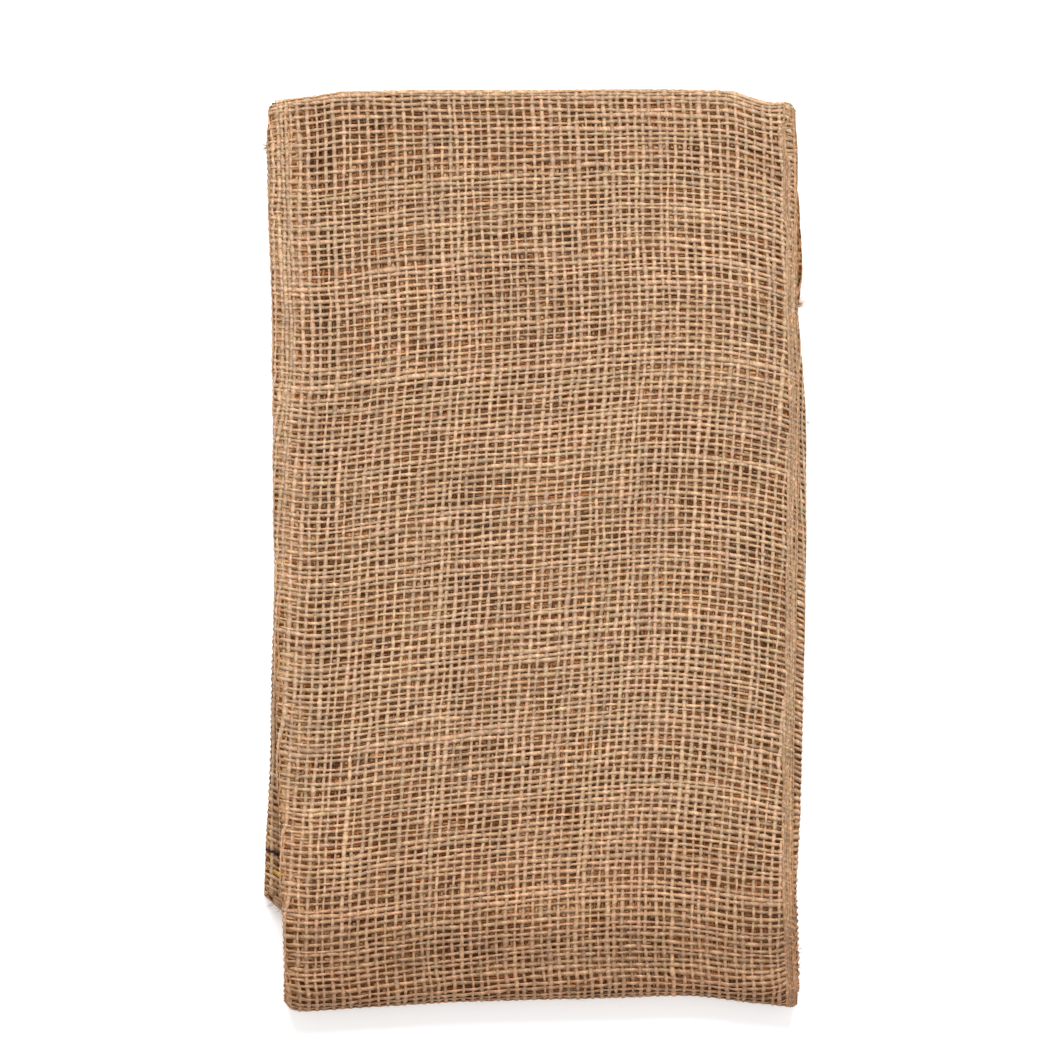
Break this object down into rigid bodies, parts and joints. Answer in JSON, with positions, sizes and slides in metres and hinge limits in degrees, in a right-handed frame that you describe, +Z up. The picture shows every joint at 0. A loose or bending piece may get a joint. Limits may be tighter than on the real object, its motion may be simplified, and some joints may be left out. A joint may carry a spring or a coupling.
{
  "type": "burlap sack",
  "caption": "Open-weave jute sack lying folded flat in a long rectangular pack, for holding potatoes, sand or garden produce.",
  "frame": {"origin": "on the surface the sack lies on, under the middle of its footprint", "axes": "+Z up from that surface, +Y along the folded pack towards the sack's closed bottom end, +X across the pack towards the seamed edge of its top layer"},
  "size_m": [0.2202, 0.3734, 0.0264],
  "materials": {
    "burlap": "open plain weave of natural light brown jute yarn, matt and hairy"
  },
  "bodies": {
    "root": {"sack": "burlap"}
  },
  "joints": []
}
